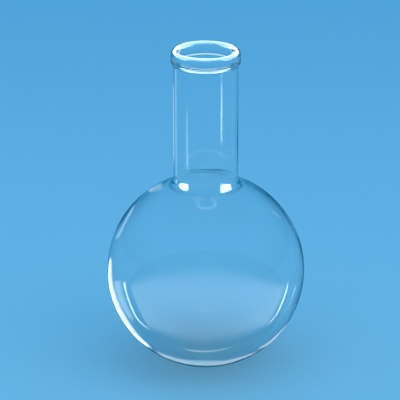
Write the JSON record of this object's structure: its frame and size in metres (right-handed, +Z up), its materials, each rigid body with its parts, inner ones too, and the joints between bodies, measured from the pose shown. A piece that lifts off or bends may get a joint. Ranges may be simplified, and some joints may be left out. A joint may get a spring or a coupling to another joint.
{
  "type": "round bottom flask",
  "caption": "Clear glass boiling flask: thin spherical bulb, straight narrow neck and thick beaded rim, for heating and stirring liquids.",
  "frame": {"origin": "lowest point of the bulb, on the neck's axis", "axes": "+Z up the neck's axis, out of the mouth; X and Y are equal, because the flask is round"},
  "size_m": [0.105, 0.105, 0.175],
  "materials": {
    "bulb_glass": "clear blown borosilicate glass, thin wall",
    "shoulder_glass": "clear fused borosilicate glass, thick seal",
    "neck_glass": "clear drawn borosilicate tube with faint draw lines",
    "rim_glass": "clear fire-polished borosilicate glass, thick bead"
  },
  "bodies": {
    "root": {"bulb": "bulb_glass", "shoulder": "shoulder_glass", "neck": "neck_glass", "rim_bead": "rim_glass"}
  },
  "joints": []
}
